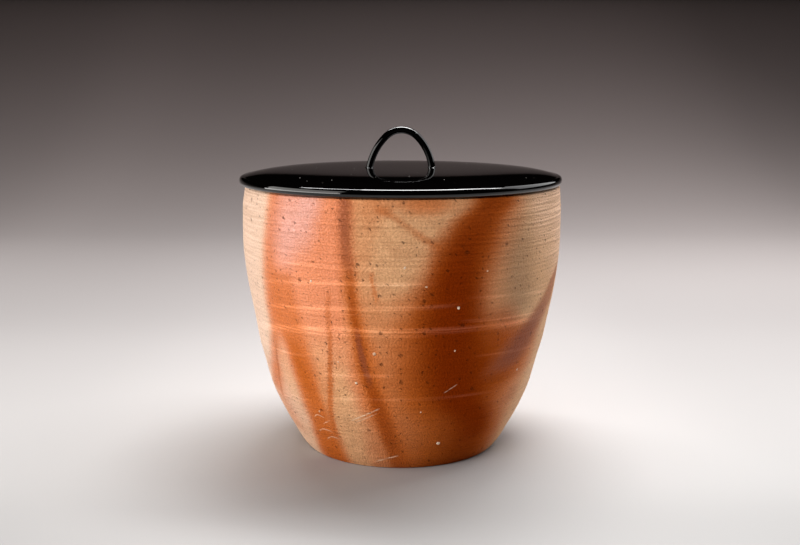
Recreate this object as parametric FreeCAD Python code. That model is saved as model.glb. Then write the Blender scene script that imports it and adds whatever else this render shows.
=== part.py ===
"""A stoneware water jar for the tea room, with a lift-off lacquered wood lid.

Millimetres, +Z up. The origin is the centre of the jar's underside, the jar's
axis is Z, and the arched handle of the lid lies along X.

The jar is one thrown vessel: a flat foot, a side that swells quickly from the
foot and stands almost upright at the rim, and a plain mouth. The lid is a
turned board with a nearly flat top that falls away at a soft shoulder. A
locating ring is glued into a groove under the board and drops into the mouth.
The handle is a bent round rod. Its feet stand on the board, and a slimmer
tenon under each foot goes through the board, where a wedge spreads it from
below.
"""
import math
import os

import FreeCAD, Part

# Jar: outer shape
foot_radius = 57.7
foot_flare_out = 20.6
foot_flare_up = 23.1
jar_height = 157.5
rim_radius = 94.2
belly_swell = 5.6
belly_drop = 60.6
foot_rounding = 2.0

# Jar: wall, floor and mouth
wall_thickness = 7.0
rim_thickness = 6.6
floor_thickness = 9.0
floor_rounding = 8.0
rim_rounding = 1.2

# Lid board
lid_overhang = 1.3
lid_rise = 9.3
crown_drop = 3.9
crown_fall_width = 26.3
shoulder_fall_width = 12.7
shoulder_rounding = 1.2
edge_under_width = 3.5
edge_under_height = 2.6
groove_depth = 2.0

# Locating ring under the lid
ring_clearance = 1.5
ring_thickness = 5.0
ring_drop = 6.0
ring_lead_in = 1.0
glue_gap = 0.1

# Handle: one bent rod with a tenon under each foot
rod_radius = 1.95
handle_half_span = 18.6
handle_rise = 22.5
crown_bend_radius = 13.1
crown_bend_half_angle = 45.0
tenon_radius = 1.4
tenon_clearance = 0.05

# Wedges that spread the tenons
wedge_length = 4.5
wedge_thick_end = 0.8
wedge_thin_end = 0.4

# Sizes that follow from the ones above
mouth_radius = rim_radius - rim_thickness
lid_radius = rim_radius + lid_overhang
seat_z = jar_height
crown_z = seat_z + lid_rise
groove_z = seat_z + groove_depth
ring_outer_radius = mouth_radius - ring_clearance
ring_inner_radius = ring_outer_radius - ring_thickness
groove_outer_radius = ring_outer_radius + glue_gap
groove_inner_radius = ring_inner_radius - glue_gap

# How far a cutting solid reaches past the surface that it cuts
overcut = 1.0

# How closely a circular edge has to match the place where it is looked for
edge_match = 0.01


def at(radius, height):
    """Return the point of the XZ half plane at a radius and a height."""
    return FreeCAD.Vector(radius, 0, height)


def line(start, end):
    """Return a straight edge."""
    return Part.LineSegment(start, end).toShape()


def bezier(*poles):
    """Return the Bezier edge with these poles."""
    curve = Part.BezierCurve()
    curve.setPoles(list(poles))
    return curve.toShape()


def quarter_ellipse(corner, width, height):
    """Return the curve that rounds the outer lower corner of a board's edge.

    It starts on the upright edge, height above the corner, and ends on the
    underside, width inside it. The middle pole's weight makes it a true ellipse.
    """
    curve = Part.BezierCurve()
    curve.increase(2)
    curve.setPoles([corner + at(0, height), corner, corner - at(width, 0)])
    curve.setWeight(2, math.sqrt(0.5))
    return curve.toShape()


def turned(edges):
    """Return the solid that a closed outline sweeps round the Z axis."""
    face = Part.Face(Part.Wire(edges))
    solid = face.revolve(FreeCAD.Vector(0, 0, 0), FreeCAD.Vector(0, 0, 1), 360)
    return solid if solid.Volume > 0 else solid.reversed()


def rounded(solid, radius, height, rounding):
    """Round the circular edge of a turned solid at a radius and a height."""
    edges = [
        edge for edge in solid.Edges
        if isinstance(edge.Curve, Part.Circle)
        and abs(edge.Curve.Radius - radius) < edge_match
        and abs(edge.Curve.Center.z - height) < edge_match
    ]
    return solid.makeFillet(rounding, edges)


def crossing(point_a, along_a, point_b, along_b):
    """Return where two lines of the XZ plane cross."""
    spread = along_a.x * along_b.z - along_a.z * along_b.x
    gap = point_b - point_a
    reach = (gap.x * along_b.z - gap.z * along_b.x) / spread
    return point_a + along_a * reach


def outer_poles():
    """Return the four poles of the jar's outer outline, from foot to rim."""
    return [
        at(foot_radius, 0),
        at(foot_radius + foot_flare_out, foot_flare_up),
        at(rim_radius + belly_swell, jar_height - belly_drop),
        at(rim_radius, jar_height),
    ]


def inner_poles():
    """Return the poles of the cavity's outline: the outer legs moved in by the wall."""
    foot, flare, belly, rim = outer_poles()
    low_leg, side_leg, top_leg = flare - foot, belly - flare, rim - belly
    inwards = [
        FreeCAD.Vector(-leg.z, 0, leg.x).normalize() * wall_thickness
        for leg in (low_leg, side_leg)
    ]
    low_start = foot + inwards[0]
    side_start = flare + inwards[1]
    mouth = at(mouth_radius, jar_height)
    return [
        low_start,
        crossing(low_start, low_leg, side_start, side_leg),
        crossing(side_start, side_leg, mouth, top_leg),
        mouth,
    ]


def above_floor(curve):
    """Trim the cavity's outline to start at the floor, and return its start point."""
    floor_line = Part.LineSegment(at(0, floor_thickness), at(2 * rim_radius, floor_thickness))
    meeting = curve.intersectCC(floor_line)[0]
    start = at(meeting.X, floor_thickness)
    curve.segment(curve.parameter(start), curve.LastParameter)
    return start


def make_cavity():
    """Return the space inside the jar, open at the mouth, with a round floor corner."""
    curve = Part.BezierCurve()
    curve.setPoles(inner_poles())
    start = above_floor(curve)
    mouth = at(mouth_radius, jar_height)
    above = jar_height + overcut
    space = turned([
        line(at(0, floor_thickness), start),
        curve.toShape(),
        line(mouth, at(mouth_radius, above)),
        line(at(mouth_radius, above), at(0, above)),
        line(at(0, above), at(0, floor_thickness)),
    ])
    return rounded(space, start.x, floor_thickness, floor_rounding)


def make_jar_body():
    """Return the thrown vessel."""
    poles = outer_poles()
    clay = turned([
        line(at(0, 0), poles[0]),
        bezier(*poles),
        line(poles[-1], at(0, jar_height)),
        line(at(0, jar_height), at(0, 0)),
    ])
    clay = rounded(clay, foot_radius, 0, foot_rounding)
    vessel = clay.cut(make_cavity())
    vessel = rounded(vessel, rim_radius, jar_height, rim_rounding)
    return rounded(vessel, mouth_radius, jar_height, rim_rounding)


def make_lid_board():
    """Return the lid's board, with its groove for the ring and its tenon holes."""
    shoulder_z = crown_z - crown_drop
    shoulder_radius = lid_radius - shoulder_rounding
    corner = at(lid_radius, seat_z)
    edge_end = at(lid_radius, seat_z + edge_under_height)
    edge_top = at(lid_radius, shoulder_z - shoulder_rounding)
    seat_end = at(lid_radius - edge_under_width, seat_z)
    board = turned([
        bezier(
            at(0, crown_z),
            at(shoulder_radius - crown_fall_width, crown_z),
            at(shoulder_radius - shoulder_fall_width, crown_z),
            at(shoulder_radius, shoulder_z),
        ),
        bezier(at(shoulder_radius, shoulder_z), at(lid_radius, shoulder_z), edge_top),
        line(edge_top, edge_end),
        quarter_ellipse(corner, edge_under_width, edge_under_height),
        line(seat_end, at(groove_outer_radius, seat_z)),
        line(at(groove_outer_radius, seat_z), at(groove_outer_radius, groove_z)),
        line(at(groove_outer_radius, groove_z), at(groove_inner_radius, groove_z)),
        line(at(groove_inner_radius, groove_z), at(groove_inner_radius, seat_z)),
        line(at(groove_inner_radius, seat_z), at(0, seat_z)),
        line(at(0, seat_z), at(0, crown_z)),
    ])
    hole_height = lid_rise + 2 * overcut
    for x in (-handle_half_span, handle_half_span):
        foot = FreeCAD.Vector(x, 0, seat_z - overcut)
        hole = Part.makeCylinder(tenon_radius + tenon_clearance, hole_height, foot)
        board = board.cut(hole)
    return board


def make_lid_ring():
    """Return the locating ring that drops into the mouth."""
    bottom = seat_z - ring_drop
    return turned([
        line(at(ring_inner_radius, bottom), at(ring_outer_radius - ring_lead_in, bottom)),
        line(at(ring_outer_radius - ring_lead_in, bottom), at(ring_outer_radius, bottom + ring_lead_in)),
        line(at(ring_outer_radius, bottom + ring_lead_in), at(ring_outer_radius, groove_z)),
        line(at(ring_outer_radius, groove_z), at(ring_inner_radius, groove_z)),
        line(at(ring_inner_radius, groove_z), at(ring_inner_radius, bottom)),
    ])


def handle_arcs():
    """Return centre, radius and angles of the rod's three bends, from right to left.

    The crown bend is centred over the lid. Each leg bend leaves it smoothly and
    comes down to its foot, so a leg's radius follows from the span and the rise.
    """
    turn = math.radians(crown_bend_half_angle)
    lift = handle_rise - crown_bend_radius
    room = 2 * (
        crown_bend_radius
        - handle_half_span * math.sin(turn)
        + lift * math.cos(turn)
    )
    extra = (handle_half_span ** 2 + lift ** 2 - crown_bend_radius ** 2) / room
    leg_radius = crown_bend_radius + extra
    leg_x = extra * math.sin(turn)
    leg_z = crown_z + lift - extra * math.cos(turn)
    foot_angle = math.degrees(math.asin((crown_z - leg_z) / leg_radius))
    join_angle = 90 - crown_bend_half_angle
    return [
        (at(-leg_x, leg_z), leg_radius, foot_angle, join_angle),
        (at(0, crown_z + lift), crown_bend_radius, join_angle, 180 - join_angle),
        (at(leg_x, leg_z), leg_radius, 180 - join_angle, 180 - foot_angle),
    ]


def bent_rod(centre, radius, start_angle, end_angle):
    """Return one bend of the rod as a piece of a torus."""
    turn = math.radians(start_angle)
    outwards = FreeCAD.Vector(math.cos(turn), 0, math.sin(turn))
    along = FreeCAD.Vector(-math.sin(turn), 0, math.cos(turn))
    section = Part.Face(Part.Wire(Part.makeCircle(rod_radius, centre + outwards * radius, along)))
    bend = section.revolve(centre, FreeCAD.Vector(0, -1, 0), end_angle - start_angle)
    return bend if bend.Volume > 0 else bend.reversed()


def wedge_blank(x):
    """Return a tapered key as wide as the tenon, thick end down, under one foot."""
    low, high = seat_z, seat_z + wedge_length
    half_low, half_high = wedge_thick_end / 2, wedge_thin_end / 2
    corners = [
        FreeCAD.Vector(x - half_low, -tenon_radius, low),
        FreeCAD.Vector(x + half_low, -tenon_radius, low),
        FreeCAD.Vector(x + half_high, -tenon_radius, high),
        FreeCAD.Vector(x - half_high, -tenon_radius, high),
    ]
    outline = Part.Face(Part.makePolygon(corners + corners[:1]))
    return outline.extrude(FreeCAD.Vector(0, 2 * tenon_radius, 0))


def tenon(x):
    """Return the slim round end that goes through the board under one foot."""
    return Part.makeCylinder(tenon_radius, lid_rise, FreeCAD.Vector(x, 0, seat_z))


def make_handle():
    """Return the bent rod, its feet cut flat on the board, with slotted tenons."""
    lean_in, crown, lean_out = handle_arcs()
    # The legs run on by a rod's diameter below the board's top and are cut flat there.
    run_on = 2 * rod_radius
    past = math.degrees(run_on / lean_in[1])
    right_leg = (lean_in[0], lean_in[1], lean_in[2] - past, lean_in[3])
    left_leg = (lean_out[0], lean_out[1], lean_out[2], lean_out[3] + past)
    rod = bent_rod(*right_leg).fuse([bent_rod(*crown), bent_rod(*left_leg)])
    half_length = handle_half_span + 2 * run_on
    half_width = rod_radius + overcut
    corner = FreeCAD.Vector(-half_length, -half_width, crown_z - 2 * run_on)
    rod = rod.cut(Part.makeBox(2 * half_length, 2 * half_width, 2 * run_on, corner))
    for x in (-handle_half_span, handle_half_span):
        rod = rod.fuse(tenon(x).cut(wedge_blank(x)))
    return rod.removeSplitter()


def make_wedge(x):
    """Return the wedge under one foot, trimmed to the tenon's round."""
    return wedge_blank(x).common(tenon(x))


def main():
    """Build every piece and write each to its own file."""
    pieces = {
        "jar_body": make_jar_body(),
        "lid_board": make_lid_board(),
        "lid_locating_ring": make_lid_ring(),
        "lid_handle": make_handle(),
        "handle_wedge_left": make_wedge(-handle_half_span),
        "handle_wedge_right": make_wedge(handle_half_span),
    }
    os.makedirs("parts", exist_ok=True)
    for name, piece in pieces.items():
        piece.exportStep(f"parts/{name}.step")
        box = piece.BoundBox
        print(
            f"{name}: {len(piece.Solids)} solid, valid {piece.isValid()}, {piece.Volume:.1f} mm3,"
            f" x {box.XMin:.2f} to {box.XMax:.2f}, z {box.ZMin:.2f} to {box.ZMax:.2f}"
        )


main()
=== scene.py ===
"""The looks of a stoneware water jar and its black lacquered lid.

Metres, +Z up, with the jar's axis on Z and the front of the jar towards -Y. A
bearing is the angle round the jar from the front, in degrees, positive to the
right. The clay carries the fire marks that straw cords leave: courses of
colour that run from the rim down the wall.
"""
import logging
import math
import random
from collections.abc import Callable, Sequence
from dataclasses import dataclass
from enum import Enum

import bmesh
import bpy
from mathutils import Matrix, Vector, noise

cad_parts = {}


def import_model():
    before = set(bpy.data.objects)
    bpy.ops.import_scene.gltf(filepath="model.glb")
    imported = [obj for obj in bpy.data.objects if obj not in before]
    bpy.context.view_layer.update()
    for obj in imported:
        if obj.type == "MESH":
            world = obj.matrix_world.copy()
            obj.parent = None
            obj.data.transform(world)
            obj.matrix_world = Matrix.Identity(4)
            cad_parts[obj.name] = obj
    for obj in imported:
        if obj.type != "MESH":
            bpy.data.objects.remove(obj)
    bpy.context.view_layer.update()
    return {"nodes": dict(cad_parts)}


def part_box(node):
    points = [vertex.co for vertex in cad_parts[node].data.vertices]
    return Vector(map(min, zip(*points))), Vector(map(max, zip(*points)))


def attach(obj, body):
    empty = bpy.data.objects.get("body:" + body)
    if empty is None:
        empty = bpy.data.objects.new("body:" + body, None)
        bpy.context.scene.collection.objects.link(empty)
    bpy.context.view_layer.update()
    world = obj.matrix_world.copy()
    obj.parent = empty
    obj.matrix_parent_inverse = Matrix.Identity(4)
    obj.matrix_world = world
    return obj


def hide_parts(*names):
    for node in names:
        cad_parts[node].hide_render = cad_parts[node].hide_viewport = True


log = logging.getLogger("water_jar")

MM = 0.001
FULL_TURN = math.tau
# How many steps a turned shape has, and how closely its rings are told apart
TURN_STEPS = 288
NEAR = 0.02 * MM

Socket = bpy.types.NodeSocket
Value = float | Socket
Colour = tuple[float, float, float, float]
Course = tuple[tuple[float, float, float], ...]
Fade = tuple[tuple[float, float], ...]


def linear(red: int, green: int, blue: int) -> Colour:
    """Return the linear colour of three sRGB bytes, opaque.

    Args:
        red: The red byte.
        green: The green byte.
        blue: The blue byte.

    Returns:
        The colour.
    """
    shares = [byte / 255 for byte in (red, green, blue)]
    bent = [s / 12.92 if s <= 0.04045 else ((s + 0.055) / 1.055) ** 2.4 for s in shares]
    return (bent[0], bent[1], bent[2], 1.0)


class NodeSheet:
    """One material's nodes, with a short method for each kind that the finishes use."""

    def __init__(self, name: str) -> None:
        """Start a material with a bare Principled surface.

        Args:
            name: The material's name.
        """
        self.material = bpy.data.materials.new(name)
        self.material.use_nodes = True
        self.tree = self.material.node_tree
        self.tree.nodes.clear()
        self.surface = self.tree.nodes.new("ShaderNodeBsdfPrincipled")
        output = self.tree.nodes.new("ShaderNodeOutputMaterial")
        self.tree.links.new(self.surface.outputs["BSDF"], output.inputs["Surface"])

    def feed(self, socket: Socket, value: Value | Colour) -> None:
        """Link a socket to another one, or set its own value.

        Args:
            socket: The input that takes the value.
            value: An output socket, a number or a colour.
        """
        if isinstance(value, bpy.types.NodeSocket):
            self.tree.links.new(value, socket)
        else:
            socket.default_value = value

    def set(self, **inputs: Value | Colour) -> None:
        """Set inputs of the surface by name, with underscores for spaces.

        Args:
            inputs: The value of each input, such as Base_Color.
        """
        for name, value in inputs.items():
            self.feed(self.surface.inputs[name.replace("_", " ")], value)

    def place(self) -> Socket:
        """Return the Object coordinates."""
        return self.tree.nodes.new("ShaderNodeTexCoord").outputs["Object"]

    def split(self, vector: Socket) -> tuple[Socket, Socket, Socket]:
        """Take a vector apart.

        Args:
            vector: The vector.

        Returns:
            Its three parts.
        """
        node = self.tree.nodes.new("ShaderNodeSeparateXYZ")
        self.feed(node.inputs["Vector"], vector)
        return node.outputs["X"], node.outputs["Y"], node.outputs["Z"]

    def join(self, x: Value, y: Value, z: Value = 0.0) -> Socket:
        """Make a vector of three parts.

        Args:
            x: The first part.
            y: The second part.
            z: The third part.

        Returns:
            The vector.
        """
        node = self.tree.nodes.new("ShaderNodeCombineXYZ")
        for name, value in zip("XYZ", (x, y, z)):
            self.feed(node.inputs[name], value)
        return node.outputs["Vector"]

    def math(self, operation: str, *values: Value, clamp: bool = False) -> Socket:
        """Return the result of one Math node.

        Args:
            operation: The node's operation, such as MULTIPLY.
            values: Its inputs in order.
            clamp: Whether the result is held between 0 and 1.

        Returns:
            The node's output.
        """
        node = self.tree.nodes.new("ShaderNodeMath")
        node.operation = operation
        node.use_clamp = clamp
        for socket, value in zip(node.inputs, values):
            self.feed(socket, value)
        return node.outputs["Value"]

    def step(self, value: Value, low: float, high: float, bottom: float = 0.0, top: float = 1.0) -> Socket:
        """Return a smooth step from bottom at low to top at high.

        Args:
            value: What is stepped.
            low: Where the step starts.
            high: Where it ends, which may be below low.
            bottom: The result at low.
            top: The result at high.

        Returns:
            The stepped value.
        """
        node = self.tree.nodes.new("ShaderNodeMapRange")
        node.interpolation_type = "SMOOTHSTEP"
        for name, part in (("From Min", low), ("From Max", high), ("To Min", bottom), ("To Max", top)):
            self.feed(node.inputs[name], part)
        self.feed(node.inputs["Value"], value)
        return node.outputs["Result"]

    def curve(self, value: Value, points: Sequence[tuple[float, float]]) -> Socket:
        """Run a value from 0 to 1 through a smooth curve, level past both ends.

        Args:
            value: What is looked up.
            points: A few points of the curve, both numbers from 0 to 1.

        Returns:
            The curve's value.
        """
        node = self.tree.nodes.new("ShaderNodeFloatCurve")
        course = sorted(points)
        line = node.mapping.curves[0].points
        line[0].location = (0.0, course[0][1])
        line[1].location = (1.0, course[-1][1])
        for x, y in course:
            if 0.0 < x < 1.0:
                line.new(x, y)
        for point in line:
            point.handle_type = "AUTO_CLAMPED"
        node.mapping.update()
        self.feed(node.inputs["Value"], value)
        return node.outputs["Value"]

    def noise(self, vector: Socket, scale: float, detail: float = 2.0, roughness: float = 0.5) -> Socket:
        """Return a noise from 0 to 1.

        Args:
            vector: Where it is looked up.
            scale: Features per unit of the vector.
            detail: How many finer layers it has.
            roughness: How strong those are.

        Returns:
            The noise.
        """
        node = self.tree.nodes.new("ShaderNodeTexNoise")
        for name, part in (("Scale", scale), ("Detail", detail), ("Roughness", roughness)):
            node.inputs[name].default_value = part
        self.feed(node.inputs["Vector"], vector)
        return node.outputs["Fac"]

    def spots(self, vector: Socket, spacing: float, radius: float, share: float) -> Socket:
        """Return round spots scattered on a flat map.

        Args:
            vector: A place on the map.
            spacing: How far apart the spots may lie.
            radius: The radius of the largest ones.
            share: The share of the places that have a spot.

        Returns:
            1 in the middle of a spot, falling to 0 at its edge.
        """
        node = self.tree.nodes.new("ShaderNodeTexVoronoi")
        node.voronoi_dimensions = "2D"
        node.inputs["Scale"].default_value = 1 / spacing
        self.feed(node.inputs["Vector"], vector)
        lot = self.split(node.outputs["Color"])[0]
        reach = self.step(lot, 0.0, share, radius / spacing, 0.0)
        fall = self.math("DIVIDE", node.outputs["Distance"], self.math("MAXIMUM", reach, 1e-4))
        return self.step(fall, 1.0, 0.2)

    def mix(self, factor: Value, first: Value | Colour, second: Value | Colour, blend: str = "MIX") -> Socket:
        """Return a mix of two colours.

        Args:
            factor: The share of the second colour.
            first: The colour at 0.
            second: The colour at 1.
            blend: The way they are blended.

        Returns:
            The mixed colour.
        """
        node = self.tree.nodes.new("ShaderNodeMix")
        node.data_type = "RGBA"
        node.blend_type = blend
        colour_a, colour_b = (s for s in node.inputs if s.type == "RGBA")
        self.feed(node.inputs[0], factor)
        self.feed(colour_a, first)
        self.feed(colour_b, second)
        return next(s for s in node.outputs if s.type == "RGBA")

    def bump(self, height: Socket, depth: float) -> Socket:
        """Return the normal of a relief.

        Args:
            height: The relief, in units of its depth.
            depth: What one unit of height is, in metres.

        Returns:
            The bent normal.
        """
        node = self.tree.nodes.new("ShaderNodeBump")
        node.inputs["Distance"].default_value = depth
        self.feed(node.inputs["Height"], height)
        return node.outputs["Normal"]


class Tone(Enum):
    """Colours of the clay, of what the fire left on it, and of light and shade painted on it, as sRGB bytes.
    """

    CLAY = (229, 174, 126)
    DUSKY_CLAY = (214, 158, 112)
    # Painted light: the clay as it looks where light falls on it, on the lit left side, high on the right and
    # on the throwing lines
    PAINTED_LIT_CLAY = (230, 194, 168)
    # Khaki: painted shade on the right side, and the own colour of a greyer patch at the foot
    KHAKI_AND_PAINTED_SHADE = (218, 170, 126)
    SALMON = (228, 136, 90)
    # Lilac patches in the flush, made paler than their own colour as a painted sheen
    LILAC_AND_PAINTED_SHEEN = (222, 164, 152)
    # Painted shade: a darker wash on the upper right
    PAINTED_SHADE_TAN = (150, 112, 80)
    ORANGE = (204, 108, 46)
    AMBER = (184, 90, 22)
    BROWN = (152, 64, 13)
    UMBER = (126, 42, 2)
    MAUVE = (136, 74, 52)
    RUST = (164, 88, 48)
    WHITE = (252, 226, 194)
    # Painted shade in the pits
    PIT_SHADE = (96, 44, 18)

    def colour(self) -> Colour:
        """Return the tone as a linear colour."""
        return linear(*self.value)


@dataclass(frozen=True)
class WallPlace:
    """Where a point of the jar's wall is, as sockets of one material.

    Attributes:
        bearing: Degrees round from the front.
        height: The share of the jar's height.
        spread: The wall rolled out flat, in millimetres.
    """

    bearing: Socket
    height: Socket
    spread: Socket


@dataclass(frozen=True)
class FireMark:
    """One mark on the wall: a mark of the firing, or a mark of painted light or shade.

    Attributes:
        tone: Its colour.
        course: Height in mm, bearing and half width in degrees, from the rim down.
        fade: Height in mm and strength, from the rim down.
        edge: How soft its edges are, as a share of its half width.
        sheen: How much it shines, from dry at 0 to glassy at 1.
    """

    tone: Tone
    course: Course
    fade: Fade
    edge: float = 0.5
    sheen: float = 0.15

    # The half width that a curve's 1 stands for, in degrees
    WIDEST = 40.0

    def cover(self, sheet: NodeSheet, place: WallPlace, jar_height: float) -> Socket:
        """Return how much the mark covers each point.

        Args:
            sheet: The material's nodes.
            place: Where the point is.
            jar_height: The jar's height in mm.

        Returns:
            0 off the mark, up to its strength on it.
        """
        middles = [(z / jar_height, bearing / 360 + 0.5) for z, bearing, _ in self.course]
        widths = [(z / jar_height, half / self.WIDEST) for z, _, half in self.course]
        strengths = [(z / jar_height, strength) for z, strength in self.fade]
        middle = sheet.math("MULTIPLY_ADD", sheet.curve(place.height, middles), 360.0, -180.0)
        off = sheet.math("WRAP", sheet.math("SUBTRACT", place.bearing, middle), 180.0, -180.0)
        width = sheet.math("MULTIPLY", sheet.curve(place.height, widths), self.WIDEST)
        share = sheet.math("DIVIDE", sheet.math("ABSOLUTE", off), width)
        body = sheet.step(share, 1 + self.edge, 1 - self.edge)
        return sheet.math("MULTIPLY", body, sheet.curve(place.height, strengths))
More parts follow.
